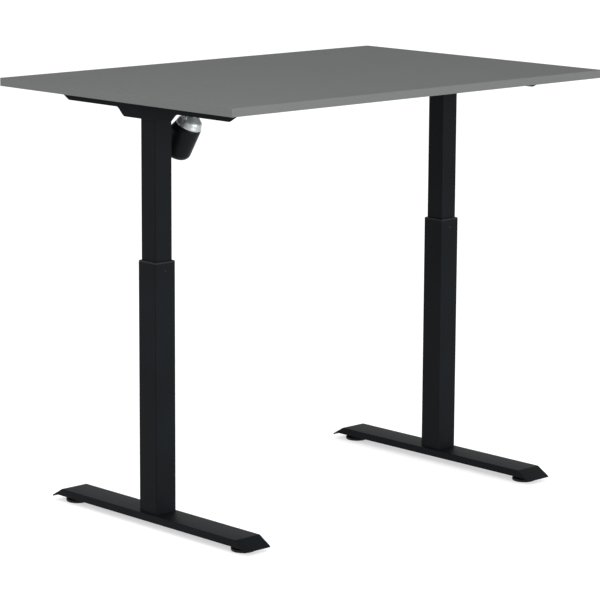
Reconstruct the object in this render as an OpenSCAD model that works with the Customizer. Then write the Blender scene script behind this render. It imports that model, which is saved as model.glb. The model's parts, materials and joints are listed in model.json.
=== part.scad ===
// Height adjustable desk: two telescopic columns on channel feet, one motor,
// a cross shaft that turns both lifting spindles, and a flat worktop.
// Origin: on the floor, under the middle of the worktop. X runs along the
// worktop's length, Y across it with the user on the +Y side, Z is up.

/* [Worktop] */
// Length of the worktop along X
top_len = 1200; // [1120:10:1600]
// Depth of the worktop along Y
top_dep = 800; // [700:10:900]
// Thickness of the worktop with its edge band
top_thk = 19; // [16:1:30]
// Thickness of the glued edge band
band_thk = 2; // [1:0.5:3]
// Height of the underside of the worktop in the stored position
under_z = 993; // [960:1:1010]

/* [Columns] */
// Distance of each column's axis from the middle
col_x = 467.6; // [450:0.1:480]
// Outside width of the fixed outer tube
outer_w = 60; // [60:1:61]
// Outside width of the sliding inner tube
inner_w = 50; // [49.6:0.1:50]
// Wall of both tubes
tube_wall = 2; // [1.8:0.1:2]
// Outside corner radius of both tubes
tube_r = 3; // [2.5:0.5:3.5]
// Height of the top of the guide collar above the floor
collar_z = 620.8; // [600:0.1:625]
// Height of the lower end of the inner tube in the stored position
inner_z0 = 364; // [364:1:370]

/* [Feet] */
// Length of each foot over its sloping end flaps
foot_len = 682; // [640:2:760]
// Width of each foot
foot_w = 78.4; // [74:0.2:80]
// Height of the top of each foot above the floor
foot_z = 32.7; // [32.4:0.1:35]
// Sheet thickness of the feet
foot_thk = 3; // [2.5:0.5:3]
// Height of the lower edge of the feet's side flanges
flange_z = 16; // [14.5:0.1:18]
// Radius of the levelling discs
disc_r = 28; // [20:1:30]
// Distance of the levelling feet from the middle, along Y
disc_y = 292; // [240:1:295]

/* [Support arms] */
// Width of the arm channel
arm_w = 84.8; // [84:0.2:86]
// Sheet thickness of the arms
arm_thk = 2.5; // [2:0.5:3]
// Half length of the arm's top
arm_half = 320; // [300:1:340]
// Depth of the arm's outer flange near its ends
arm_slim = 27; // [22:0.5:30]
// Depth of the arm's outer flange in the middle
arm_deep = 47; // [44:0.5:52]
// How far each arm's middle is set off its column, along Y
arm_off = 16; // [0:1:24]

/* [Drive] */
// Height of the cross shaft's axis below the worktop
shaft_drop = 23; // [22.5:0.5:24]
// Width across flats of the hexagonal cross shaft
hex_af = 8; // [7:0.5:9]
// Tilt of the motor from upright
motor_tilt = 25.7; // [24:0.1:28]
// Sideways lean of the motor, which is the worm's lead angle
worm_lead = 7.5; // [6:0.5:9]
// Radius of the gearbox bell at the motor
motor_r = 30.5; // [30:0.1:30.5]
// Radius of the motor cover
cover_r = 34.45; // [34:0.05:35]
// Length of the motor cover
motor_len = 80.9; // [79:0.1:82]
// Radius of the cover's rounded lower edge
cover_q = 17.5; // [14:0.5:19]

/* [Hidden] */
$fn = 48;

black = [0.13, 0.13, 0.135];
steel = [0.62, 0.63, 0.65];
top_z = under_z + top_thk;
shaft_z = under_z - shaft_drop;
arm_x = arm_w / 2;
plate_z = under_z - arm_thk - 6;
cap_h = 4;
nut_z = 526;
wheel_x = -368.6;
// middle of the joint between the motor can and the gearbox
rim = [-374.3, -3.9, 920.5];

// points of a rectangle w by d with corners of radius r
function rrect(w, d, r, n = 5) = [for (q = [0:3]) for (i = [0:n])
  let (a = q * 90 + i * 90 / n,
       cx = (q == 0 || q == 3 ? 1 : -1) * (w / 2 - r),
       cy = (q < 2 ? 1 : -1) * (d / 2 - r))
  [cx + r * cos(a), cy + r * sin(a)]];
function ease(u) = u * u * (3 - 2 * u);

module bar(w, d, r, z0, z1) {
  translate([0, 0, z0]) linear_extrude(height = z1 - z0) polygon(rrect(w, d, r));
}
module tube(w, r, t, z0, z1) {
  difference() {
    bar(w, w, r, z0, z1);
    bar(w - 2 * t, w - 2 * t, max(r - t, 0.8), z0 - 1, z1 + 1);
  }
}
module box(a, b) { translate(a) cube(b - a); }
// cylinder along +X, +Y or +Z from p
module rod_x(p, r, l) { translate(p) rotate([0, 90, 0]) cylinder(r = r, h = l); }
module rod_y(p, r, l) { translate(p) rotate([-90, 0, 0]) cylinder(r = r, h = l); }
module rod_z(p, r, l) { translate(p) cylinder(r = r, h = l); }
module both_x() { children(); mirror([1, 0, 0]) children(); }
module both_y() { children(); mirror([0, 1, 0]) children(); }
module at_left() { translate([-col_x, 0, 0]) children(); }
module at_right() { translate([col_x, 0, 0]) rotate([0, 0, 180]) children(); }
module at_motor() {
  translate(rim) rotate([motor_tilt, 0, 0]) rotate([0, worm_lead, 0]) children();
}

// ---- worktop ----
module worktop() {
  color([0.45, 0.46, 0.455])
  difference() {
    box([-top_len / 2 + band_thk, -top_dep / 2 + band_thk, under_z],
        [top_len / 2 - band_thk, top_dep / 2 - band_thk, top_z]);
    top_screw_places() rod_z([0, 0, under_z - 1], 2, 14);
    plate_screw_places() rod_z([0, 0, under_z - 1], 1.6, 11);
    handset_screw_places() rod_z([0, 0, under_z - 1], 1.6, 11);
  }
}
module edge_band() {
  color([0.5, 0.51, 0.505])
  difference() {
    translate([0, 0, under_z]) linear_extrude(height = top_thk)
      polygon(rrect(top_len, top_dep, 1.2));
    box([-top_len / 2 + band_thk, -top_dep / 2 + band_thk, under_z - 1],
        [top_len / 2 - band_thk, top_dep / 2 - band_thk, top_z + 1]);
  }
}

// ---- support arms ----
// half outline of the outer flange from the arm's middle; the deep part ends at d
function half_outline(d) = concat(
  [for (i = [0:8]) let (u = i / 8)
    [d + 29.5 * u, -arm_deep + (arm_deep - arm_slim) * ease(u)]],
  [for (i = [0:5]) let (a = 270 + 30 * i / 5)
    [arm_half - 48 + 14 * cos(a), -arm_slim + 14 + 14 * sin(a)]],
  [[arm_half - 3, -3.2], [arm_half, -arm_thk], [arm_half, 0]]);
arm_far = half_outline(75.5);
arm_near = half_outline(74.8);
arm_outline = concat(arm_far,
  [for (i = [len(arm_near) - 1:-1:0]) [-arm_near[i][0], arm_near[i][1]]]);

// one arm about its column, with its outer flange on -X
module arm() {
  color(black)
  difference() {
    union() {
      translate([-arm_x, -arm_off, under_z]) rotate([90, 0, 90])
        linear_extrude(height = arm_thk) polygon(arm_outline);
      translate([0, -arm_off, under_z - arm_thk]) linear_extrude(height = arm_thk)
        polygon(rrect(arm_w, 2 * arm_half, 4));
      translate([arm_x - arm_thk, -arm_off, under_z]) rotate([90, 0, 90])
        linear_extrude(height = arm_thk)
        polygon([[-arm_half + 20, -arm_thk / 2], [-arm_half + 20, -arm_thk - 1.5],
          [-arm_half + 103, -24], [arm_half - 103, -24],
          [arm_half - 20, -arm_thk - 1.5], [arm_half - 20, -arm_thk / 2]]);
    }
    // gap in the inner flange for the gearbox neck and the cross shaft
    box([arm_x - arm_thk - 1, -32, under_z - 30], [arm_x + 1, 32, under_z - arm_thk]);
    for (x = [-30, 30], y = [-50, 50]) rod_z([x, y, under_z - 8], 3, 10);
    for (y = [-230, -150, 150, 230]) rod_z([0, y - arm_off / 3, under_z - 8], 2.4, 10);
    for (y = [-80, 80], dy = [-12, 12]) rod_x([arm_x - 6, y + dy, under_z - 12], 3, 8);
  }
}
module support_arm_left() { at_left() arm(); }
module support_arm_right() { at_right() arm(); }
module top_screw_places() {
  for (y = [-230, -150, 150, 230]) {
    at_left() translate([0, y - arm_off / 3, 0]) children();
    at_right() translate([0, y - arm_off / 3, 0]) children();
  }
}
module worktop_screws() {
  color([0.2, 0.2, 0.2])
  top_screw_places() {
    rod_z([0, 0, under_z - arm_thk - 2.6], 4.2, 2.6);
    rod_z([0, 0, under_z - arm_thk], 1.95, arm_thk + 12);
  }
}
module column_bolts() {
  color([0.2, 0.2, 0.2])
  for (k = [0, 1]) translate([k == 0 ? -col_x : col_x, 0, 0])
    for (x = [-30, 30], y = [-50, 50]) {
      rod_z([x, y, plate_z - 4], 5, 4);
      rod_z([x, y, plate_z], 2.95, 8);
    }
}

// ---- beam between the columns ----
module rail(y) {
  color(black)
  translate([0, y, under_z - 12]) difference() {
    union() {
      difference() {
        translate([-(col_x - arm_x) + 3, 0, 0]) rotate([90, 0, 90])
          linear_extrude(height = 2 * (col_x - arm_x) - 6) polygon(rrect(40, 24, 2.5));
        translate([-(col_x - arm_x), 0, 0]) rotate([90, 0, 90])
          linear_extrude(height = 2 * (col_x - arm_x)) polygon(rrect(36, 20, 0.8));
      }
      both_x() box([-(col_x - arm_x), -20, -12], [-(col_x - arm_x) + 3, 20, 12]);
    }
    both_x() for (dy = [-12, 12]) rod_x([-(col_x - arm_x) - 1, dy, 0], 3, 6);
  }
}
module beam_rail_front() { rail(-80); }
module beam_rail_back() { rail(80); }
module beam_screws() {
  color([0.2, 0.2, 0.2])
  both_x() for (y = [-80, 80], dy = [-12, 12]) {
    rod_x([-(col_x - arm_x) - arm_thk - 4, y + dy, under_z - 12], 5, 4);
    rod_x([-(col_x - arm_x) - arm_thk, y + dy, under_z - 12], 2.95, arm_thk + 9);
  }
}

// ---- columns ----
// plate welded on top of the sliding tube and bolted to the arm
module top_plate() {
  color(black)
  difference() {
    translate([0, 0, plate_z]) linear_extrude(height = 6)
      polygon(rrect(arm_w - 2 * arm_thk - 1, 120, 3));
    for (x = [-30, 30], y = [-50, 50]) rod_z([x, y, plate_z - 1], 3, 8);
  }
}
module top_plate_left() { at_left() top_plate(); }
module top_plate_right() { at_right() top_plate(); }
// sliding tube; the shaft enters on +X
module inner_column() {
  color(black)
  difference() {
    tube(inner_w, tube_r, tube_wall, inner_z0, plate_z);
    rod_x([inner_w / 2 - 5, 0, shaft_z], 8, 8);
    for (y = [-19, 19], z = [-18, 10]) rod_x([inner_w / 2 - 5, y, shaft_z + z], 2, 8);
  }
}
module inner_tube_left() { at_left() inner_column(); }
module inner_tube_right() { at_right() inner_column(); }
module lower_glide() {
  g = outer_w - 2 * tube_wall - 0.6;
  color([0.08, 0.08, 0.08])
  difference() {
    bar(g, g, 1.2, inner_z0 - 6, inner_z0 + 38);
    bar(inner_w, inner_w, tube_r, inner_z0, inner_z0 + 40);
    bar(42, 42, 2, inner_z0 - 8, inner_z0 + 1);
  }
}
module lower_glide_left() { at_left() lower_glide(); }
module lower_glide_right() { at_right() lower_glide(); }
module outer_tube() {
  color(black)
  difference() {
    tube(outer_w, tube_r, tube_wall, foot_z, collar_z - cap_h);
    both_y() rod_y([0, outer_w / 2 - 4, collar_z - 22], 2.5, 6);
  }
}
module outer_tube_left() { at_left() outer_tube(); }
module outer_tube_right() { at_right() outer_tube(); }
// plastic guide: a cap on the tube's rim and a sleeve inside it
module guide_collar() {
  o = outer_w - 2 * tube_wall;
  color([0.06, 0.06, 0.06])
  difference() {
    union() {
      bar(outer_w, outer_w, tube_r, collar_z - cap_h, collar_z - 1.2);
      bar(outer_w - 1.6, outer_w - 1.6, tube_r, collar_z - 1.2, collar_z);
      bar(o, o, 1, collar_z - cap_h - 40, collar_z - cap_h);
    }
    bar(inner_w + 0.7, inner_w + 0.7, tube_r + 0.3, collar_z - 60, collar_z + 1);
    both_y() rod_y([0, outer_w / 2 - 4, collar_z - 22], 2.5, 6);
  }
}
module guide_collar_left() { at_left() guide_collar(); }
module guide_collar_right() { at_right() guide_collar(); }
module collar_pins() {
  color([0.06, 0.06, 0.06])
  for (x = [-col_x, col_x]) translate([x, 0, 0])
    both_y() rod_y([0, outer_w / 2 - 3.6, collar_z - 22], 2.45, 3.6);
}
module nut_tubes() {
  color(steel)
  for (x = [-col_x, col_x]) translate([x, 0, foot_z + 10]) difference() {
    cylinder(r = 14, h = nut_z - foot_z - 10);
    translate([0, 0, -1]) cylinder(r = 11, h = nut_z);
  }
}
module spindle_nuts() {
  color([0.85, 0.85, 0.8])
  for (x = [-col_x, col_x]) translate([x, 0, nut_z]) difference() {
    union() {
      cylinder(r = 16, h = 8);
      translate([0, 0, 8]) cylinder(r = 13, h = 26);
    }
    translate([0, 0, -1]) cylinder(r = 6.56, h = 40);
  }
}

// ---- feet ----
foot_h = foot_len / 2;
slope = [0.8534, 0.5212];
function under_flap(z) = foot_h - 1.6 - (z - 8.94) * slope[0] / slope[1];
module foot() {
  k = foot_z - 11.5;
  bend = foot_h - k * slope[0] / slope[1];
  color(black)
  difference() {
    intersection() {
      translate([0, foot_len, 0]) rotate([90, 0, 0])
        linear_extrude(height = 2 * foot_len)
        polygon(concat([[-foot_w / 2, 0], [foot_w / 2, 0]],
          [for (i = [0:4]) let (a = i * 22.5)
            [foot_w / 2 - 3.5 + 3.5 * cos(a), foot_z - 3.5 + 3.5 * sin(a)]],
          [for (i = [0:4]) let (a = 90 + i * 22.5)
            [-foot_w / 2 + 3.5 + 3.5 * cos(a), foot_z - 3.5 + 3.5 * sin(a)]]));
      translate([-foot_w, 0, 0]) rotate([90, 0, 90])
        linear_extrude(height = 2 * foot_w)
        polygon([[-bend, foot_z], [bend, foot_z], [foot_h, 11.5],
          [foot_h - 1.6, 8.94], [under_flap(flange_z), flange_z],
          [-under_flap(flange_z), flange_z], [-foot_h + 1.6, 8.94], [-foot_h, 11.5]]);
    }
    translate([-foot_w / 2 + foot_thk, 0, 0]) rotate([90, 0, 90])
      linear_extrude(height = foot_w - 2 * foot_thk)
      polygon([[-under_flap(foot_z - foot_thk), foot_z - foot_thk],
        [under_flap(foot_z - foot_thk), foot_z - foot_thk],
        [under_flap(flange_z), flange_z], [under_flap(flange_z), 0],
        [-under_flap(flange_z), 0], [-under_flap(flange_z), flange_z]]);
    for (x = [-18, 18], y = [-18, 18]) rod_z([x, y, foot_z - 10], 4.3, 20);
  }
}
module foot_left() { at_left() foot(); }
module foot_right() { at_right() foot(); }
module base_plates() {
  o = outer_w - 2 * tube_wall;
  color(steel)
  for (x = [-col_x, col_x]) translate([x, 0, 0]) difference() {
    bar(o, o, 1, foot_z, foot_z + 10);
    for (u = [-18, 18], v = [-18, 18]) rod_z([u, v, foot_z - 1], 4, 12);
  }
}
module foot_screws() {
  color([0.2, 0.2, 0.2])
  for (x = [-col_x, col_x], u = [-18, 18], v = [-18, 18]) translate([x + u, v, 0]) {
    difference() {
      rod_z([0, 0, foot_z - foot_thk - 6], 6.5, 6);
      translate([0, 0, foot_z - foot_thk - 7]) cylinder(r = 3.2, h = 4, $fn = 6);
    }
    rod_z([0, 0, foot_z - foot_thk], 3.95, foot_thk + 9);
  }
}
module levelling_nuts() {
  color(steel)
  for (x = [-col_x, col_x], y = [-disc_y, disc_y]) translate([x, y, 0]) difference() {
    union() {
      rod_z([0, 0, 15.2], 7.5, foot_z - foot_thk - 15.2);
      rod_z([0, 0, foot_z - foot_thk - 3], 11, 3);
    }
    rod_z([0, 0, 14], 4.02, foot_z - foot_thk - 14.4);
  }
}
// turned-in levelling foot: stud, hexagon and a round pad
module level_foot(x, y) {
  color([0.05, 0.05, 0.05])
  translate([x, y, 0]) {
    rotate_extrude()
      polygon([[0, 0], [disc_r - 3.5, 0], [disc_r - 1, 1.2], [disc_r, 3],
        [disc_r, 6.2], [disc_r - 0.8, 7], [disc_r - 2.4, 7], [disc_r - 3.2, 7.8],
        [disc_r - 10, 9.8], [9, 10.6], [0, 10.6]]);
    translate([0, 0, 10.6]) cylinder(r = 7.5, h = 4.2, $fn = 6);
    translate([0, 0, 14]) cylinder(r = 3.95, h = foot_z - foot_thk - 15.1);
  }
}
module level_foot_left_front() { level_foot(-col_x, -disc_y); }
module level_foot_left_back() { level_foot(-col_x, disc_y); }
module level_foot_right_front() { level_foot(col_x, -disc_y); }
module level_foot_right_back() { level_foot(col_x, disc_y); }

// ---- gear heads, spindles and cross shaft ----
module gear_head() {
  h = inner_w / 2 - tube_wall - 0.3;
  color(steel)
  difference() {
    translate([0, 0, 0]) bar(2 * h, 2 * h, 1, shaft_z - 32, plate_z - 0.5);
    rod_z([0, 0, shaft_z - 18], 17, 40);
    rod_z([0, 0, shaft_z - 29], 14, 14);
    rod_z([0, 0, shaft_z - 34], 7.5, 8);
    rod_x([10, 0, shaft_z], 7.06, 20);
  }
}
module gear_head_left() { at_left() gear_head(); }
module gear_head_right() { at_right() gear_head(); }
module spindle_bearings() {
  color([0.75, 0.75, 0.77])
  for (x = [-col_x, col_x]) translate([x, 0, shaft_z - 29]) difference() {
    cylinder(r = 13.97, h = 8);
    translate([0, 0, -1]) cylinder(r = 6.06, h = 10);
    translate([0, 0, 7]) difference() {
      cylinder(r = 12, h = 2);
      translate([0, 0, -1]) cylinder(r = 8, h = 4);
    }
  }
}
module spindle() {
  color([0.7, 0.71, 0.72]) {
    rod_z([0, 0, inner_z0 - 2], 6.5, shaft_z - 31.5 - inner_z0 + 2);
    rod_z([0, 0, shaft_z - 31.5], 6, 25);
  }
}
module spindle_left() { at_left() spindle(); }
module spindle_right() { at_right() spindle(); }
// 45 degree gear on +Z, its cone's tip at the origin
module bevel(hub_r, hub_l) {
  rotate_extrude()
    polygon([[0, 6.6], [6, 6.6], [11, 11.6], [11, 12.6], [hub_r, 12.6],
      [hub_r, hub_l], [0, hub_l]]);
}
module spindle_gear() {
  color([0.72, 0.7, 0.6])
  difference() {
    translate([0, 0, shaft_z]) rotate([180, 0, 0]) bevel(8.5, 20);
    rod_z([0, 0, shaft_z - 22], 6.02, 30);
  }
}
module spindle_gear_left() { at_left() spindle_gear(); }
module spindle_gear_right() { at_right() spindle_gear(); }
hex_r = hex_af / 2 / cos(30);
module drive_shaft() {
  color(steel)
  translate([-col_x + 7.2, 0, shaft_z]) rotate([0, 90, 0])
    cylinder(r = hex_r, h = 2 * (col_x - 7.2), $fn = 6);
}
module shaft_bevel_gears() {
  color([0.72, 0.7, 0.6])
  both_x() translate([-col_x, 0, shaft_z]) difference() {
    rotate([0, 90, 0]) bevel(7, inner_w / 2 + 1);
    rotate([0, 90, 0]) cylinder(r = hex_r, h = 40, $fn = 6);
  }
}
module worm_wheel() {
  color([0.85, 0.82, 0.7])
  difference() {
    union() {
      rod_x([wheel_x - 5.5, 0, shaft_z], 16.8, 11);
      rod_x([wheel_x - 11.2, 0, shaft_z], 8, 25.4);
    }
    translate([wheel_x - 20, 0, shaft_z]) rotate([0, 90, 0])
      cylinder(r = hex_r, h = 40, $fn = 6);
  }
}

// ---- gearbox and motor ----
bell_profile = [[0, 0], [motor_r, 0], [motor_r, 2.5], [motor_r - 0.8, 4.2],
  [26.6, 14.5], [23.5, 18.5], [13.5, 27.5], [0, 27.5]];
// angle, height and pocket depth of each of the screws that hold the motor
motor_screw_places = [[75, 8, 11], [195, 8, 16], [315, 8, 16]];
module gearbox_housing() {
  neck0 = -col_x + inner_w / 2;
  color([0.72, 0.73, 0.74])
  difference() {
    union() {
      intersection() {
        at_motor() rotate_extrude() polygon(bell_profile);
        box([-col_x, -80, 800], [-col_x + 200, 80, shaft_z - 28.5]);
      }
      at_motor() cylinder(r = 10.6, h = 60.4);
      rod_x([wheel_x - 11.4, 0, shaft_z], 21, 23);
      rod_x([neck0, 0, shaft_z], 14, wheel_x - neck0);
      box([neck0, -24, shaft_z - 22], [neck0 + 5, 24, shaft_z + 14]);
    }
    at_motor() {
      rotate_extrude() polygon([[0, -1], [27, -1], [27, 3], [24, 5.2], [12, 6.4],
        [0, 6.4]]);
      translate([0, 0, 5]) cylinder(r = 8.7, h = 51.4);
      for (s = motor_screw_places) rotate([0, 0, s[0]]) translate([23.5, 0, 0]) {
        translate([0, 0, -1]) cylinder(r = 2.05, h = 20);
        translate([0, 0, s[1]]) cylinder(r = 4.6, h = s[2]);
      }
    }
    rod_x([wheel_x - 8.4, 0, shaft_z], 18.2, 30);
    rod_x([wheel_x - 20, 0, shaft_z], 8.06, 20);
    rod_x([neck0 - 1, 0, shaft_z], 9, wheel_x - neck0 - 13);
    for (y = [-19, 19], z = [-18, 10]) rod_x([neck0 - 1, y, shaft_z + z], 2.1, 8);
  }
}
module gearbox_cap() {
  color([0.1, 0.1, 0.1])
  difference() {
    union() {
      rod_x([wheel_x + 11.6, 0, shaft_z], 21, 2.4);
      rod_x([wheel_x + 8.6, 0, shaft_z], 18.1, 4);
    }
    rod_x([wheel_x, 0, shaft_z], 8.06, 30);
  }
}
module gearbox_screws() {
  n = -col_x + inner_w / 2;
  color([0.5, 0.5, 0.5])
  for (y = [-19, 19], z = [-18, 10]) {
    rod_x([n + 5, y, shaft_z + z], 3.5, 2.8);
    rod_x([n - 2, y, shaft_z + z], 1.95, 7);
  }
}
// the cover sits off the motor's axis, with a sloping shoulder on its wide side
cover_off = [-1.85, 2.42, 0];
module motor_can() {
  q = cover_q;
  color([0.1, 0.1, 0.105])
  at_motor() difference() {
    intersection() {
      translate(cover_off) rotate_extrude()
        polygon(concat([[0, 0], [cover_r, 0]],
          [for (i = [0:8]) let (a = -i * 90 / 8)
            [cover_r - q + q * cos(a), -motor_len + q + q * sin(a)]],
          [[0, -motor_len]]));
      rotate_extrude()
        polygon([[0, 0], [30.6, 0], [38.4, -20], [38.4, -motor_len - 1],
          [0, -motor_len - 1]]);
    }
    rotate_extrude()
      polygon([[0, -motor_len + 3], [14, -motor_len + 3], [23, -motor_len + 9],
        [27.95, -motor_len + 15.5], [27.95, 1], [0, 1]]);
  }
}
module motor_magnets() {
  color([0.25, 0.25, 0.26])
  at_motor() for (k = [0, 180]) rotate([0, 0, k]) difference() {
    translate([0, 0, -60]) cylinder(r = 27.9, h = 48);
    translate([0, 0, -61]) cylinder(r = 22, h = 50);
    translate([-40, -40, -61]) cube([32, 80, 50]);
    translate([-10, -40, -61]) cube([18, 80, 50]);
  }
}
module motor_screws() {
  color([0.78, 0.78, 0.8])
  at_motor() for (s = motor_screw_places) rotate([0, 0, s[0]])
    translate([23.5, 0, 0]) {
      difference() {
        translate([0, 0, s[1]]) cylinder(r = 3.6, h = 2.6);
        translate([0, 0, s[1] + 1.2]) cylinder(r = 1.7, h = 4, $fn = 6);
      }
      translate([0, 0, 2]) cylinder(r = 2, h = s[1] - 2);
    }
}
module worm() {
  color([0.6, 0.6, 0.62])
  at_motor() {
    translate([0, 0, 31.3]) cylinder(r = 8, h = 24);
    translate([0, 0, 6]) cylinder(r = 4, h = 25.3);
  }
}
module armature() {
  color([0.72, 0.45, 0.25])
  at_motor() {
    translate([0, 0, -56]) cylinder(r = 20, h = 40);
    translate([0, 0, -72]) cylinder(r = 3, h = 78);
    translate([0, 0, -14]) cylinder(r = 9, h = 10);
  }
}

// ---- control box ----
cb = [120, 195, under_z];
module plate_screw_places() {
  for (x = [-108, 108]) translate([cb[0] + x, cb[1], 0]) children();
}
module control_box() {
  color([0.09, 0.09, 0.095])
  translate([cb[0], cb[1], 0]) difference() {
    bar(196, 92, 5, under_z - 36, under_z - 3);
    bar(190, 86, 3, under_z - 33, under_z);
    box([94, -26, under_z - 30], [99, 0, under_z - 10]);
    box([94, 8, under_z - 28], [99, 22, under_z - 12]);
    box([94, 26, under_z - 28], [99, 40, under_z - 12]);
    for (x = [-70:14:70]) box([x, -47, under_z - 26], [x + 7, -42, under_z - 12]);
  }
}
module control_box_plate() {
  color([0.09, 0.09, 0.095])
  translate([cb[0], cb[1], 0]) difference() {
    bar(232, 40, 4, under_z - 3, under_z);
    for (x = [-108, 108]) rod_z([x, 0, under_z - 4], 2.2, 6);
  }
  color([0.09, 0.09, 0.095])
  translate([cb[0], cb[1], 0]) both_y()
    box([-98, 20, under_z - 3], [98, 46, under_z]);
  color([0.4, 0.4, 0.4])
  plate_screw_places() {
    rod_z([0, 0, under_z - 5.2], 4, 2.2);
    rod_z([0, 0, under_z - 3], 1.55, 12);
  }
}
module control_board() {
  color([0.1, 0.35, 0.2])
  translate([cb[0], cb[1], 0]) {
    box([-90, -38, under_z - 30], [78, 38, under_z - 28.4]);
    box([-70, -30, under_z - 28.4], [-30, 10, under_z - 8]);
    for (y = [-20, 8]) rod_z([0, y, under_z - 28.4], 9, 20);
    box([30, -30, under_z - 28.4], [36, 30, under_z - 10]);
  }
}
module mains_inlet() {
  color([0.05, 0.05, 0.05])
  translate([cb[0], cb[1], 0]) {
    difference() {
      box([82, -26, under_z - 30], [100, 0, under_z - 10]);
      box([87, -22, under_z - 27], [101, -4, under_z - 13]);
    }
    for (y = [-17, -9]) rod_x([86, y, under_z - 20], 1.2, 11);
  }
}
module control_sockets() {
  color([0.15, 0.15, 0.15])
  translate([cb[0], cb[1], 0]) for (y = [8, 26]) difference() {
    box([82, y, under_z - 28], [99, y + 14, under_z - 12]);
    box([87, y + 1.5, under_z - 26], [100, y + 12.5, under_z - 15]);
  }
}

// ---- handset under the user's edge ----
hs = [-330, 364, under_z];
module handset_screw_places() {
  for (x = [-49, 49]) translate([hs[0] + x, hs[1] - 8, 0]) children();
}
module handset_case() {
  color([0.08, 0.08, 0.085])
  translate([hs[0], hs[1], 0]) difference() {
    union() {
      bar(88, 64, 4, under_z - 22, under_z);
      translate([0, -8, under_z - 3]) linear_extrude(height = 3) polygon(rrect(112, 22, 5));
    }
    box([-41.5, -29.5, under_z - 19.5], [41.5, 29.4, under_z - 2.5]);
    for (x = [-20, 20]) translate([x, 28, under_z - 11.5]) rotate([-90, 0, 0])
      linear_extrude(height = 6) polygon(rrect(24.8, 12.8, 2.2));
    for (x = [-49, 49]) rod_z([x, -8, under_z - 4], 2.2, 6);
  }
}
module handset_board() {
  color([0.1, 0.35, 0.2])
  translate([hs[0], hs[1], 0]) {
    box([-38, 19, under_z - 19.3], [38, 20.6, under_z - 3]);
    for (x = [-20, 20]) rod_y([x, 20.6, under_z - 11.5], 2.5, 2.4);
  }
}
module handset_screws() {
  color([0.4, 0.4, 0.4])
  handset_screw_places() {
    rod_z([0, 0, under_z - 5.2], 3.8, 2.2);
    rod_z([0, 0, under_z - 3], 1.55, 12);
  }
}
// push button with a retaining flange and a raised arrow
module button(x, up) {
  color([0.2, 0.2, 0.21])
  translate([hs[0] + x, hs[1], under_z - 11.5]) {
    translate([0, 25, 0]) rotate([-90, 0, 0])
      linear_extrude(height = 8.6) polygon(rrect(24, 12, 2));
    translate([0, 25, 0]) rotate([-90, 0, 0])
      linear_extrude(height = 2) polygon(rrect(27, 14.4, 2));
    translate([0, 33.5, 0]) rotate([90, 0, 0]) mirror([0, 0, 1])
      linear_extrude(height = 0.5) polygon([[-3.5, up * -2], [3.5, up * -2], [0, up * 3]]);
  }
}
module up_button() { button(20, 1); }
module down_button() { button(-20, -1); }

worktop();
edge_band();
support_arm_left();
support_arm_right();
beam_rail_front();
beam_rail_back();
beam_screws();
worktop_screws();
column_bolts();
top_plate_left();
top_plate_right();
inner_tube_left();
inner_tube_right();
lower_glide_left();
lower_glide_right();
gear_head_left();
gear_head_right();
spindle_bearings();
gearbox_housing();
gearbox_cap();
gearbox_screws();
motor_can();
motor_magnets();
motor_screws();
control_box();
control_box_plate();
control_board();
mains_inlet();
control_sockets();
handset_case();
handset_board();
handset_screws();
up_button();
down_button();
drive_shaft();
shaft_bevel_gears();
worm_wheel();
worm();
armature();
spindle_left();
spindle_right();
spindle_gear_left();
spindle_gear_right();
foot_left();
foot_right();
base_plates();
foot_screws();
levelling_nuts();
outer_tube_left();
outer_tube_right();
guide_collar_left();
guide_collar_right();
collar_pins();
nut_tubes();
spindle_nuts();
level_foot_left_front();
level_foot_left_back();
level_foot_right_front();
level_foot_right_back();
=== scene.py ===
import json
import math

import bmesh
import bpy
from mathutils import Matrix, Vector


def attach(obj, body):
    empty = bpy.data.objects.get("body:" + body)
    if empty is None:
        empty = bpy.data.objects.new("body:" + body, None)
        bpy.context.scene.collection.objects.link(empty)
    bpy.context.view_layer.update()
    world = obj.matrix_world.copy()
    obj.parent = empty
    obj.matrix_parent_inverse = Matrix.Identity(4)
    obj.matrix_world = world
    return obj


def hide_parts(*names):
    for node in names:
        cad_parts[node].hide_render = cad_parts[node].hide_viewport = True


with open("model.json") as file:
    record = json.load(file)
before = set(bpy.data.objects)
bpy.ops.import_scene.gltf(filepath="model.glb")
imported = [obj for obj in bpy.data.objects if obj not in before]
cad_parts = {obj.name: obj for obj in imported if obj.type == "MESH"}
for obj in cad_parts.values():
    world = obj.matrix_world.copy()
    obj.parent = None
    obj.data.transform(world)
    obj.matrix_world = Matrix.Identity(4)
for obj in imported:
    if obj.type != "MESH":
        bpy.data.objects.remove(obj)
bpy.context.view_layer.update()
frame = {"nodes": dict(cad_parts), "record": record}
NODES = frame["nodes"]
scene = bpy.context.scene
MM = 0.001

scene.view_settings.view_transform = "Standard"
scene.view_settings.look = "None"
scene.view_settings.exposure = 0.0
scene.view_settings.gamma = 1.0

# ------------------------------------------------------------------ camera
cam_data = bpy.data.cameras.new("view_camera")
cam_data.lens = 166.682
cam_data.sensor_width = 36.0
cam_data.sensor_fit = "HORIZONTAL"
cam_data.clip_start = 0.1
cam_data.clip_end = 60.0
cam = bpy.data.objects.new("view_camera", cam_data)
scene.collection.objects.link(cam)
right = Vector((0.72474220, -0.68899852, 0.00545808))
up = Vector((0.12436832, 0.13860348, 0.98250781))
back = Vector((-0.67770293, -0.71138606, 0.18614137))
m = Matrix((right, up, back)).transposed().to_4x4()
m.translation = Vector((-4.516885, -4.722526, 1.706942))
cam.matrix_world = m
scene.camera = cam


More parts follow.
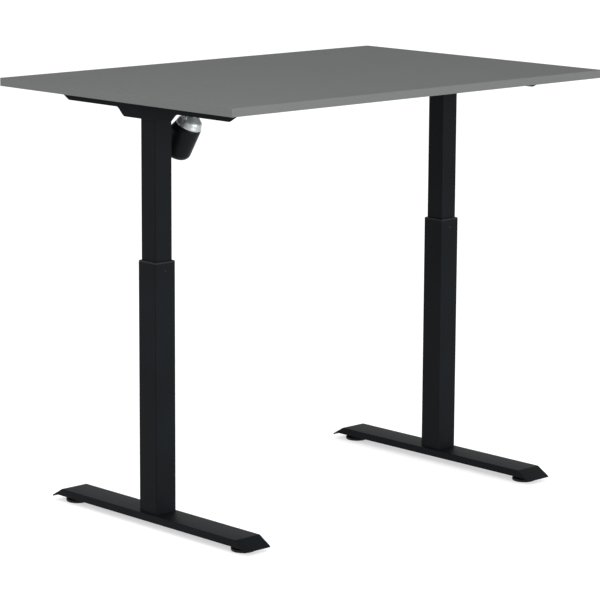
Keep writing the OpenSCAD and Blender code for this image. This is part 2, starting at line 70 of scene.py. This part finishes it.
# ------------------------------------------------------------------ materials
class Mat:
    """A node material built step by step, in object coordinates."""

    def __init__(self, name, rough=0.5, metal=0.0, spec=0.5, coat=0.0, coat_rough=0.2):
        self.m = bpy.data.materials.new(name)
        self.m.use_nodes = True
        self.t = self.m.node_tree
        self.t.nodes.clear()
        self.out = self.t.nodes.new("ShaderNodeOutputMaterial")
        self.b = self.t.nodes.new("ShaderNodeBsdfPrincipled")
        self.t.links.new(self.b.outputs["BSDF"], self.out.inputs["Surface"])
        self.b.inputs["Roughness"].default_value = rough
        self.b.inputs["Metallic"].default_value = metal
        self.b.inputs["Specular IOR Level"].default_value = spec
        self.b.inputs["Coat Weight"].default_value = coat
        self.b.inputs["Coat Roughness"].default_value = coat_rough
        self.co = self.t.nodes.new("ShaderNodeTexCoord").outputs["Object"]
        self.bump_end = None

    def link(self, a, b):
        self.t.links.new(a, b)

    def mapping(self, scale=(1, 1, 1), rot=(0, 0, 0)):
        n = self.t.nodes.new("ShaderNodeMapping")
        n.inputs["Scale"].default_value = scale
        n.inputs["Rotation"].default_value = rot
        self.link(self.co, n.inputs["Vector"])
        return n.outputs["Vector"]

    def noise(self, scale, detail=2.0, rough=0.5, vec=None, distortion=0.0):
        n = self.t.nodes.new("ShaderNodeTexNoise")
        n.inputs["Scale"].default_value = scale
        n.inputs["Detail"].default_value = detail
        n.inputs["Roughness"].default_value = rough
        n.inputs["Distortion"].default_value = distortion
        self.link(vec or self.co, n.inputs["Vector"])
        return n.outputs["Fac"]

    def voronoi(self, scale, vec=None, feature="F1"):
        n = self.t.nodes.new("ShaderNodeTexVoronoi")
        n.feature = feature
        n.inputs["Scale"].default_value = scale
        self.link(vec or self.co, n.inputs["Vector"])
        return n.outputs["Distance"]

    def ramp(self, fac, stops):
        n = self.t.nodes.new("ShaderNodeValToRGB")
        while len(n.color_ramp.elements) < len(stops):
            n.color_ramp.elements.new(0.5)
        for e, (p, c) in zip(n.color_ramp.elements, stops):
            e.position = p
            e.color = (*c, 1) if len(c) == 3 else c
        self.link(fac, n.inputs["Fac"])
        return n.outputs["Color"]

    def mapr(self, fac, lo, hi, a=0.0, b=1.0):
        n = self.t.nodes.new("ShaderNodeMapRange")
        n.inputs["From Min"].default_value = a
        n.inputs["From Max"].default_value = b
        n.inputs["To Min"].default_value = lo
        n.inputs["To Max"].default_value = hi
        self.link(fac, n.inputs["Value"])
        return n.outputs["Result"]

    def mix(self, fac, a, b, mode="MIX"):
        n = self.t.nodes.new("ShaderNodeMix")
        n.data_type = "RGBA"
        n.blend_type = mode
        if isinstance(fac, (int, float)):
            n.inputs["Factor"].default_value = fac
        else:
            self.link(fac, n.inputs["Factor"])
        for sock, v in (("A", a), ("B", b)):
            s = [i for i in n.inputs if i.name == sock and i.type == "RGBA"][0]
            if isinstance(v, tuple):
                s.default_value = (*v, 1)
            else:
                self.link(v, s)
        return [o for o in n.outputs if o.type == "RGBA"][0]

    def math(self, op, a, b):
        n = self.t.nodes.new("ShaderNodeMath")
        n.operation = op
        for i, v in enumerate((a, b)):
            if isinstance(v, (int, float)):
                n.inputs[i].default_value = v
            else:
                self.link(v, n.inputs[i])
        return n.outputs[0]

    def bump(self, height, strength=0.2, distance=0.0002):
        n = self.t.nodes.new("ShaderNodeBump")
        n.inputs["Strength"].default_value = strength
        n.inputs["Distance"].default_value = distance
        self.link(height, n.inputs["Height"])
        if self.bump_end is not None:
            self.link(self.bump_end, n.inputs["Normal"])
        self.bump_end = n.outputs["Normal"]
        self.link(self.bump_end, self.b.inputs["Normal"])
        return self

    def color(self, v):
        if isinstance(v, tuple):
            self.b.inputs["Base Color"].default_value = (*v, 1)
        else:
            self.link(v, self.b.inputs["Base Color"])
        return self

    def rough(self, v):
        self.link(v, self.b.inputs["Roughness"])
        return self


def make_laminate(name, tone, spec=0.03, rough=(0.58, 0.68)):
    """Matt grey laminate: a fine pearl grain, faint speckle and slow mottling."""
    k = Mat(name, spec=spec)
    slow = k.noise(6.0, 3, 0.55)
    fine = k.noise(900.0, 3, 0.6)
    speck = k.voronoi(650.0)
    a = tuple(c * 0.975 for c in tone)
    b = tuple(c * 1.02 for c in tone)
    base = k.ramp(slow, [(0.35, a), (0.65, b)])
    dark = tuple(c * 0.86 for c in tone)
    light = tuple(c * 1.12 for c in tone)
    grain = k.ramp(fine, [(0.30, dark), (0.5, tone), (0.70, light)])
    col = k.mix(0.45, base, grain)
    dots = k.mapr(speck, 1.0, 0.0, 0.02, 0.14)
    col = k.mix(k.math("MULTIPLY", dots, 0.16), col, tuple(c * 0.55 for c in tone))
    k.color(col)
    k.rough(k.mapr(k.noise(260.0, 2), *rough, 0.3, 0.7))
    k.bump(fine, 0.10, 0.00006)
    k.bump(k.noise(240.0, 2), 0.06, 0.00010)
    return k.m


def make_powder(name, tone=0.0038, spec=0.045, rough=(0.48, 0.60)):
    """Black powder coat: a fine orange-peel with scattered finer grit."""
    k = Mat(name, spec=spec)
    peel = k.noise(420.0, 2, 0.5)
    grit = k.noise(1500.0, 2, 0.6)
    slow = k.noise(9.0, 2, 0.5)
    t = (tone * 0.75, tone, tone * 1.26)
    lo = tuple(c * 0.86 for c in t)
    hi = tuple(c * 1.2 for c in t)
    col = k.ramp(slow, [(0.3, lo), (0.7, hi)])
    col = k.mix(k.mapr(grit, 0.0, 0.30, 0.55, 0.75), col, tuple(c * 1.9 for c in t))
    k.color(col)
    k.rough(k.mapr(grit, *rough, 0.35, 0.7))
    k.bump(peel, 0.22, 0.00012)
    k.bump(grit, 0.18, 0.00004)
    return k.m


def make_plastic(name, tone, spec=0.14, rough=(0.42, 0.55), grain=1100.0):
    """Moulded plastic with a fine spark-eroded grain and slow gloss variation."""
    k = Mat(name, spec=spec)
    g = k.voronoi(grain)
    n = k.noise(grain * 0.6, 2)
    slow = k.noise(25.0, 2)
    lo = tuple(c * 0.9 for c in tone)
    hi = tuple(c * 1.12 for c in tone)
    k.color(k.ramp(slow, [(0.3, lo), (0.7, hi)]))
    k.rough(k.mapr(n, *rough, 0.3, 0.7))
    k.bump(g, 0.14, 0.00004)
    k.bump(n, 0.12, 0.00005)
    return k.m


def make_metal(name, tone, rough=(0.22, 0.38), cast=False, drawn=None, metal=1.0):
    """Bare metal: cast skin, or drawn lines along one axis."""
    k = Mat(name, metal=metal)
    slow = k.noise(60.0, 3)
    lo = tuple(c * 0.86 for c in tone)
    hi = tuple(min(c * 1.06, 1) for c in tone)
    k.color(k.ramp(slow, [(0.3, lo), (0.7, hi)]))
    if cast:
        skin = k.noise(700.0, 3, 0.6)
        k.rough(k.mapr(skin, *rough, 0.3, 0.7))
        k.bump(skin, 0.22, 0.00006)
        k.bump(k.noise(90.0, 2), 0.20, 0.00030)
    else:
        axis = {None: (1, 1, 1), "x": (0.02, 1, 1), "z": (1, 1, 0.02)}[drawn]
        lines = k.noise(1800.0, 2, 0.5, vec=k.mapping(scale=axis))
        k.rough(k.mapr(lines, *rough, 0.3, 0.7))
        k.bump(lines, 0.10, 0.00003)
    return k.m


def make_board(name):
    k = Mat(name, rough=0.35, spec=0.5)
    traces = k.voronoi(260.0, feature="DISTANCE_TO_EDGE")
    k.color(k.ramp(traces, [(0.02, (0.03, 0.16, 0.07)), (0.06, (0.012, 0.08, 0.035))]))
    k.rough(k.mapr(k.noise(500.0), 0.28, 0.42))
    k.bump(traces, 0.2, 0.00004)
    return k.m


def make_winding(name):
    k = Mat(name, metal=0.9)
    w = k.t.nodes.new("ShaderNodeTexWave")
    w.wave_type = "BANDS"
    w.bands_direction = "Z"
    w.inputs["Scale"].default_value = 700.0
    w.inputs["Distortion"].default_value = 1.0
    k.link(k.co, w.inputs["Vector"])
    k.color(k.ramp(w.outputs["Fac"], [(0.2, (0.30, 0.11, 0.04)), (0.8, (0.62, 0.28, 0.12))]))
    k.rough(k.mapr(k.noise(300.0), 0.25, 0.4))
    k.bump(w.outputs["Fac"], 0.5, 0.0002)
    return k.m


TOP_TONE = (0.0865, 0.0905, 0.0880)
M = {
    "laminate": make_laminate("grey_laminate", TOP_TONE),
    "edge_plastic": make_laminate("grey_edge_band", tuple(c * 1.03 for c in TOP_TONE), rough=(0.50, 0.60)),
    "powder_coat": make_powder("black_powder_coat"),
    "black_plastic": make_plastic("black_moulding", (0.0060, 0.0060, 0.0064)),
    "foot_plastic": make_plastic("black_foot_plastic", (0.0052, 0.0052, 0.0054), rough=(0.36, 0.48)),
    "key_plastic": make_plastic("key_plastic", (0.020, 0.020, 0.021), rough=(0.38, 0.5)),
    "cast_alloy": make_metal("die_cast_alloy", (0.36, 0.38, 0.385), rough=(0.22, 0.38), cast=True, metal=0.65),
    "motor_black": make_powder("motor_black_paint", tone=0.0036, spec=0.07, rough=(0.36, 0.46)),
    "fastener": make_metal("black_zinc", (0.06, 0.06, 0.065), rough=(0.30, 0.42)),
    "bright_fastener": make_metal("bright_zinc", (0.72, 0.73, 0.74), rough=(0.18, 0.30)),
    "plain_steel": make_metal("drawn_steel", (0.56, 0.57, 0.58), rough=(0.25, 0.40), drawn="x"),
    "bearing_steel": make_metal("ground_steel", (0.66, 0.66, 0.68), rough=(0.12, 0.22)),
    "gear_bronze": make_metal("sintered_bronze", (0.55, 0.42, 0.24), rough=(0.32, 0.46), cast=True),
    "nylon": make_plastic("natural_nylon", (0.62, 0.60, 0.52), rough=(0.34, 0.46)),
    "magnet": make_metal("ferrite", (0.10, 0.10, 0.10), rough=(0.5, 0.62), cast=True, metal=0.4),
    "copper": make_winding("winding"),
    "circuit_board": make_board("circuit_board"),
}
SLOT = {s["node"]: s["material_slot"] for s in frame["record"]["subparts"]}


# ------------------------------------------------------------------ CAD nodes
def soften(o, width, segs=2, angle=35):
    """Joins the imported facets, eases the sharp edges and smooths the rest."""
    w = o.modifiers.new("join", "WELD")
    w.merge_threshold = 2e-6
    if width:
        b = o.modifiers.new("ease", "BEVEL")
        b.limit_method = "ANGLE"
        b.angle_limit = math.radians(angle)
        b.width = width
        b.segments = segs
        b.use_clamp_overlap = True
        b.harden_normals = False
        b.loop_slide = True
    for p in o.data.polygons:
        p.use_smooth = True
    o.data.set_sharp_from_angle(angle=math.radians(32))
    n = o.modifiers.new("faces_first", "WEIGHTED_NORMAL")
    n.mode = "FACE_AREA"
    n.weight = 100
    n.keep_sharp = True


EASE = {
    "worktop": 0.15, "edge_band": 0.5,
    "inner_tube_left": 0.25, "inner_tube_right": 0.25,
    "outer_tube_left": 0.25, "outer_tube_right": 0.25,
    "beam_rail_front": 0.3, "beam_rail_back": 0.3,
    "control_box": 0.4, "control_box_plate": 0.3, "handset_case": 0.5,
    "up_button": 0.4, "down_button": 0.4, "gearbox_housing": 0.4,
    "gearbox_cap": 0.4, "mains_inlet": 0.3, "control_sockets": 0.25,
    "worktop_screws": 0.3, "column_bolts": 0.4, "beam_screws": 0.4,
    "foot_screws": 0.3, "levelling_nuts": 0.3, "gearbox_screws": 0.25,
    "motor_screws": 0.25, "handset_screws": 0.25,
}
for name, o in NODES.items():
    o.data.materials.clear()
    o.data.materials.append(M[SLOT[name]])
    soften(o, EASE.get(name, 0.0) * MM)


# ------------------------------------------------------------------ mesh tools
def add_mesh(name, verts, faces, slot, body, replaces=(), smooth=32):
    """A mesh piece in the row frame, riding on a body."""
    me = bpy.data.meshes.new(name)
    me.from_pydata([tuple(v) for v in verts], [], faces)
    bm = bmesh.new()
    bm.from_mesh(me)
    bmesh.ops.remove_doubles(bm, verts=bm.verts, dist=1e-6)
    bmesh.ops.dissolve_degenerate(bm, edges=bm.edges, dist=1e-6)
    bmesh.ops.recalc_face_normals(bm, faces=bm.faces)
    bm.to_mesh(me)
    bm.free()
    for p in me.polygons:
        p.use_smooth = True
    me.set_sharp_from_angle(angle=math.radians(smooth))
    o = bpy.data.objects.new(name, me)
    scene.collection.objects.link(o)
    me.materials.append(M[slot])
    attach(o, body)
    if replaces:
        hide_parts(*replaces)
    return o


def loft(loops, closed_ring=False):
    """Quads between loops of equal length; the two ends are capped unless closed_ring."""
    n = len(loops[0])
    verts = [v for l in loops for v in l]
    faces = []
    count = len(loops)
    for i in range(count if closed_ring else count - 1):
        j = (i + 1) % count
        for a in range(n):
            b = (a + 1) % n
            faces.append((i * n + a, i * n + b, j * n + b, j * n + a))
    if not closed_ring:
        faces.append(tuple(range(n))[::-1])
        faces.append(tuple((count - 1) * n + a for a in range(n)))
    return verts, faces


def arc(cx, cz, r, a0, a1, n):
    return [(cx + r * math.cos(math.radians(a0 + (a1 - a0) * i / n)),
             cz + r * math.sin(math.radians(a0 + (a1 - a0) * i / n))) for i in range(n + 1)]


def ease(u):
    u = max(0.0, min(1.0, u))
    return u * u * (3 - 2 * u)


def spin(profile, n=64, place=None):
    """Closed profile of (r, z) in mm turned about Z, in metres."""
    loops = []
    for k in range(n):
        a = 2 * math.pi * k / n
        ring = [Vector((r * math.cos(a), r * math.sin(a), z)) * MM for r, z in profile]
        if place is not None:
            ring = [place @ v for v in ring]
        loops.append(ring)
    return loft(loops, closed_ring=True)


# ------------------------------------------------------------------ feet
COL_X = 467.6


def make_foot(side):
    name = "foot_shell_" + side
    x0 = -COL_X if side == "left" else COL_X
    flip = 1 if side == "left" else -1
    w, t, r, zt0, zlow = 39.2, 3.0, 3.2, 32.7, 16.0
    yb, ye = 306.3, 341.0
    s = (zt0 - 11.5) / (ye - yb)
    ang = math.atan(s)
    rb = 9.0                                    # outer radius of the end bend
    tl = rb * math.tan(ang / 2)
    y_a, y_b = yb - tl, yb + tl * math.cos(ang)

    def top(y):
        y = abs(y)
        if y <= y_a:
            return zt0
        if y < y_b:
            return zt0 - (rb - math.sqrt(max(rb * rb - (y - y_a) ** 2, 0)))
        return zt0 - (y - yb) * s

    def under(y):
        y = abs(y)
        if y <= y_a - 0.5:
            return zt0 - t
        return min(zt0 - t, top(y) - t / math.cos(ang)) if y > y_b else \
            zt0 - t - (zt0 - t - (top(y_b) - t / math.cos(ang))) * ease((y - y_a + 0.5) / (y_b - y_a + 0.5))

    ys = [0, 60, 150, 240, 290]
    ys += [y_a - 0.5 + (y_b - y_a + 0.5) * i / 6 for i in range(7)]
    ys += [312, 318, 324, 328, 330.2, 333, 336, 337.4, 338.6, 339.6, 340.3, 340.8, 341.0]
    ys = sorted(set([-y for y in ys] + ys))
    loops = []
    for y in ys:
        zt, zi = top(y), under(y)
        zb = min(zlow, zi)
        a = abs(y)
        if a > 339.3:                           # square-cut tip, a little eased
            k = (a - 339.3) / 1.7
            zb = zb + (zt - zb) * 0.86 * k
            zi = max(zi, zb)
        cw = w
        rc = 3.6
        if a > ye - rc:
            cw = w - (rc - math.sqrt(max(rc * rc - (a - ye + rc) ** 2, 0)))
        rr = min(r, (zt - zb) * 0.45)
        ti = min(t, cw)
        zi2 = max(zb, zi)
        ri = min(1.2, max(zi2 - zb, 0) * 0.45)
        loop = [(-cw, zb + 0.35), (-cw, zt - rr)]
        loop += arc(-cw + rr, zt - rr, rr, 180, 90, 6)[1:]
        loop += arc(cw - rr, zt - rr, rr, 90, 0, 6)
        loop += [(cw, zb + 0.35), (cw - 0.35, zb), (cw - ti + 0.3, zb)]
        loop += [(cw - ti, zb + min(0.3, (zi2 - zb) * 0.5))]
        loop += arc(cw - ti - ri, zi2 - ri, ri, 0, 90, 3)
        loop += arc(-cw + ti + ri, zi2 - ri, ri, 90, 180, 3)
        loop += [(-cw + ti, zb + min(0.3, (zi2 - zb) * 0.5))]
        loop += [(-cw + ti - 0.3, zb), (-cw + 0.35, zb)]
        loops.append([Vector((x0 + x * flip, y, z)) * MM for x, z in loop])
    v, f = loft(loops)
    return add_mesh(name, v, f, "powder_coat", "base", ["foot_" + side], smooth=28)


make_foot("left")
make_foot("right")


# ------------------------------------------------------------------ support arms
def make_arm(side):
    """Bent sheet arm: web, deep outer flange with S-curved middle, slim inner flange."""
    name = "arm_shell_" + side
    a_w, t, r, off, half = 42.4, 2.5, 2.6, 16.0, 320.0
    slim, deep = 27.0, 47.0
    zt = 993.0

    def depth(y):                               # outer flange, y from the arm's middle
        e = 75.5 if y > 0 else 74.8
        y = abs(y)
        if y <= e:
            d = deep
        elif y < e + 29.5:
            d = deep - (deep - slim) * ease((y - e) / 29.5)
        else:
            d = slim
        a = y - (half - 48)
        if a > 0:                               # rounded corner, then the sloping end
            rc, al = 14.0, math.radians(30)
            if a < rc * math.sin(al):
                d = slim - (rc - math.sqrt(rc * rc - a * a))
            else:
                d = slim - rc * (1 - math.cos(al)) - (a - rc * math.sin(al)) * (slim - rc * (1 - math.cos(al)) - 3.2) / (48 - 3 - rc * math.sin(al))
        return max(d, t + 0.3)

    def inner(y, yc):                           # slim inner flange with sloping ends
        y = abs(y)
        if y > half - 20 or abs(yc) < 32:
            return t + 0.3
        if y > half - 103:
            return 24.0 - (y - half + 103) / 83 * 20.0
        return 24.0

    ys = [0, 40, 66, 74.8, 75.5] + [75.5 + 29.5 * i / 10 for i in range(1, 11)]
    ys += [74.8 + 29.5 * i / 10 for i in range(1, 11)]
    ys += [112, 150, half - 104, half - 102, 250, half - 48] + [half - 48 + 7 * i / 5 for i in range(1, 6)]
    ys += [275, 285, half - 20.2, half - 19.8, 300, 306, half - 3, half - 2, half - 0.9, half - 0.2, half]
    ys = sorted(set([-y for y in ys] + ys))
    notch = [-32.15 + off, -31.85 + off, 31.85 + off, 32.15 + off]
    ys = sorted(set(ys + notch))
    loops = []
    for y in ys:
        yc = y - off
        d, di = depth(y), inner(y, yc)
        cw = a_w
        rc = 3.0
        if abs(y) > half - rc:
            cw = a_w - (rc - math.sqrt(max(rc * rc - (abs(y) - half + rc) ** 2, 0)))
        ro = min(r, d * 0.8)
        ri_o = max(ro - t, 0.2)
        loop = [(-cw, -d + 0.3), (-cw, -ro)]
        loop += arc(-cw + ro, -ro, ro, 180, 90, 6)[1:]
        ro2 = min(r, di * 0.8)
        loop += arc(cw - ro2, -ro2, ro2, 90, 0, 6)
        loop += [(cw, -di + 0.3), (cw - 0.3, -di), (cw - t + 0.3, -di), (cw - t, -di + 0.3)]
        loop += [(cw - t, -t - 0.1), (cw - t - 0.1, -t)]
        loop += [(-cw + t + 0.1, -t), (-cw + t, -t - 0.1)]
        loop += [(-cw + t, -d + 0.3), (-cw + t - 0.3, -d), (-cw + 0.3, -d)]
        s = 1 if side == "left" else -1
        x0 = -COL_X if side == "left" else COL_X
        loops.append([Vector((x0 + s * x, s * yc, zt + z)) * MM for x, z in loop])
    v, f = loft(loops)
    return add_mesh(name, v, f, "powder_coat", "carriage", ["support_arm_" + side], smooth=28)


make_arm("left")
make_arm("right")


# ------------------------------------------------------------------ guide collars
def square_loop(half, r, z, cx, n=8):
    pts = []
    for q in range(4):
        sx = 1 if q in (0, 3) else -1
        sy = 1 if q < 2 else -1
        for x, y in arc(sx * (half - r), sy * (half - r), r, q * 90, q * 90 + 90, n):
            pts.append(Vector((cx + x, y, z)) * MM)
    return pts


def make_collar(side):
    cx = -COL_X if side == "left" else COL_X
    z1, z0 = 620.8, 616.8
    prof = [(30.0, 3.0, z0 + 0.25), (30.0, 3.0, z0 + 2.0), (29.9, 3.0, z0 + 2.5),
            (28.9, 3.0, z1 - 0.35), (28.5, 3.0, z1), (26.4, 3.4, z1), (25.7, 3.4, z1 - 0.4),
            (25.35, 3.3, z1 - 1.4), (25.35, 3.3, z0 - 39), (25.9, 3.3, z0 - 40),
            (27.6, 1.4, z0 - 40), (28.0, 1.2, z0 - 39.4), (28.0, 1.2, z0 + 0.0),
            (29.75, 3.0, z0 + 0.0)]
    loops = [square_loop(h, r, z, cx) for h, r, z in prof]
    v, f = loft(loops, closed_ring=True)
    return add_mesh("collar_" + side, v, f, "black_plastic", "base", ["guide_collar_" + side], smooth=40)


make_collar("left")
make_collar("right")


# ------------------------------------------------------------------ motor
RIM = Vector((-374.3, -3.9, 920.5))
at_motor = (Matrix.Translation(RIM * MM)
            @ Matrix.Rotation(math.radians(25.7), 4, "X")
            @ Matrix.Rotation(math.radians(7.5), 4, "Y"))


def make_motor_can():
    """Satin black motor cover: off the motor's axis, its wide side with a sloping shoulder."""
    q, R, L = 17.5, 34.4, 80.85
    ox, oy = -1.85, 2.42

    def outer(t):                               # radius of the cover about its own axis
        d = -L + q - t
        return R if d <= 0 else R - q + math.sqrt(max(q * q - d * d, 0.0))

    def cone(t):                                # trimming cone about the motor's axis
        return 30.5 + 7.8 * min(-t, 20.0) / 20.0

    levels = [-0.15, -0.6, -1.4, -3.0, -6, -9, -12, -14.5, -16.5, -18.5, -20, -22, -30, -45, -L + q]
    levels += [-L + q - q * math.sin(math.radians(a)) for a in range(6, 88, 6)]
    n = 96
    loops = []
    for k, t in enumerate(levels):
        ring = []
        for i in range(n):
            a = 2 * math.pi * i / n
            ca, sa = math.cos(a), math.sin(a)
            r0 = outer(t)
            pr = ox * ca + oy * sa
            r = pr + math.sqrt(max(pr * pr - (ox * ox + oy * oy) + r0 * r0, 0.01))
            c = cone(t) - (0.5 if k == 0 else 0.12 if k == 1 else 0)
            r = min(r - (0.4 if k == 0 else 0), c)
            ring.append(at_motor @ (Vector((r * ca, r * sa, t)) * MM))
        loops.append(ring)
    for r, t in ((13.0, -L), (9.4, -L), (9.0, -L + 0.25), (8.6, -L + 1.0), (8.0, -L + 1.2), (0.4, -L + 1.2)):
        loops.append([at_motor @ (Vector((ox * min(r / 14.0, 1) + r * math.cos(2 * math.pi * i / n),
                                          oy * min(r / 14.0, 1) + r * math.sin(2 * math.pi * i / n), t)) * MM)
                      for i in range(n)])
    v, f = loft(loops)
    return add_mesh("motor_shell", v, f, "motor_black", "carriage", ["motor_can"], smooth=34)


make_motor_can()


# ------------------------------------------------------------------ levelling feet
def make_level(name, x, y):
    prof = [(0.001, 0.0), (19.0, 0.0), (19.5, 0.5), (20.5, 0.5), (21.0, 0.0), (25.6, 0.0), (26.9, 0.45),
            (27.7, 1.6), (28.0, 3.2), (28.0, 5.6), (27.8, 6.3), (27.2, 6.75), (26.4, 6.8),
            (25.6, 6.9), (25.0, 7.4), (24.2, 7.8), (18.0, 9.5), (13.0, 10.3), (9.2, 10.6), (0.001, 10.6)]
    v, f = spin(prof, 72, Matrix.Translation(Vector((x, y, 0)) * MM))
    n = len(v)
    # hexagon
    hexl = [[Vector((x + r * math.cos(math.radians(60 * k + 30)), y + r * math.sin(math.radians(60 * k + 30)), z)) * MM for k in range(6)]
            for r, z in ((7.5, 10.3), (7.5, 14.1), (6.9, 14.7), (0.5, 14.8))]
    hv, hf = loft(hexl)
    v = v + hv
    f = f + [tuple(i + n for i in t) for t in hf]
    # threaded stud, as rings of a coarse screw profile
    n = len(v)
    loops = []
    seg = 24
    z = 14.2
    turns = int((28.5 - 14.2) / 1.25)
    steps = turns * seg
    ring_n = 4
    prof_t = [(3.3, -0.5), (3.9, -0.12), (3.9, 0.12), (3.3, 0.5)]
    path = []
    for k in range(steps + 1):
        a = 2 * math.pi * k / seg
        zc = 15.0 + 1.25 * k / seg
        path.append([Vector((x + r * math.cos(a), y + r * math.sin(a), min(zc + dz, 28.5))) * MM for r, dz in prof_t])
    tv, tf = loft(path)
    v = v + tv
    f = f + [tuple(i + n for i in t) for t in tf]
    n = len(v)
    core = [[Vector((x + r * math.cos(2 * math.pi * k / 24), y + r * math.sin(2 * math.pi * k / 24), z)) * MM for k in range(24)]
            for r, z in ((3.35, 14.0), (3.35, 28.1), (2.8, 28.5))]
    cv, cf = loft(core)
    v = v + cv
    f = f + [tuple(i + n for i in t) for t in cf]
    return add_mesh("pad_" + name, v, f, "foot_plastic", "level_" + name, ["level_foot_" + name], smooth=35)


for sx, sn in ((-1, "left"), (1, "right")):
    for sy, yn in ((-1, "front"), (1, "back")):
        make_level(sn + "_" + yn, sx * COL_X, sy * 292.0)

# ------------------------------------------------------------------ stage
def stage_plane(name, size, z, mat):
    me = bpy.data.meshes.new(name)
    me.from_pydata([(-size, -size, z), (size, -size, z), (size, size, z), (-size, size, z)], [], [(0, 1, 2, 3)])
    me.materials.append(mat)
    o = bpy.data.objects.new(name, me)
    scene.collection.objects.link(o)
    return o


kf = Mat("pale_floor", rough=0.9, spec=0.1)
kf.color(kf.ramp(kf.noise(3.0, 2), [(0.3, (0.50, 0.50, 0.50)), (0.7, (0.52, 0.52, 0.52))]))
kf.bump(kf.noise(200.0, 2), 0.02, 0.0002)
kf.b.inputs["Emission Color"].default_value = (1.0, 1.0, 1.0, 1.0)
kf.b.inputs["Emission Strength"].default_value = 0.54
stage_plane("floor", 60.0, -0.0005, kf.m)

world = bpy.data.worlds.new("studio")
scene.world = world
world.use_nodes = True
wn = world.node_tree
wn.nodes["Background"].inputs["Color"].default_value = (1, 1, 1, 1)
wn.nodes["Background"].inputs["Strength"].default_value = 1.08


def area(name, loc, target, size, power, size_y=None):
    d = bpy.data.lights.new(name, "AREA")
    d.shape = "RECTANGLE"
    d.size = size
    d.size_y = size_y or size
    d.energy = power
    o = bpy.data.objects.new(name, d)
    scene.collection.objects.link(o)
    o.location = loc
    o.rotation_euler = (Vector(target) - Vector(loc)).to_track_quat("-Z", "Y").to_euler()
    return o


area("front_softbox", (0.9, -5.4, 1.4), (0.1, 0, 0.65), 3.6, 280.0, 2.4)
area("left_softbox", (-2.7, 0.5, 1.75), (-0.3, 0.1, 0.95), 1.8, 33.0, 1.4)
area("top_softbox", (-1.5, -1.5, 2.3), (-0.3, -0.3, 1.0), 0.9, 26.0)
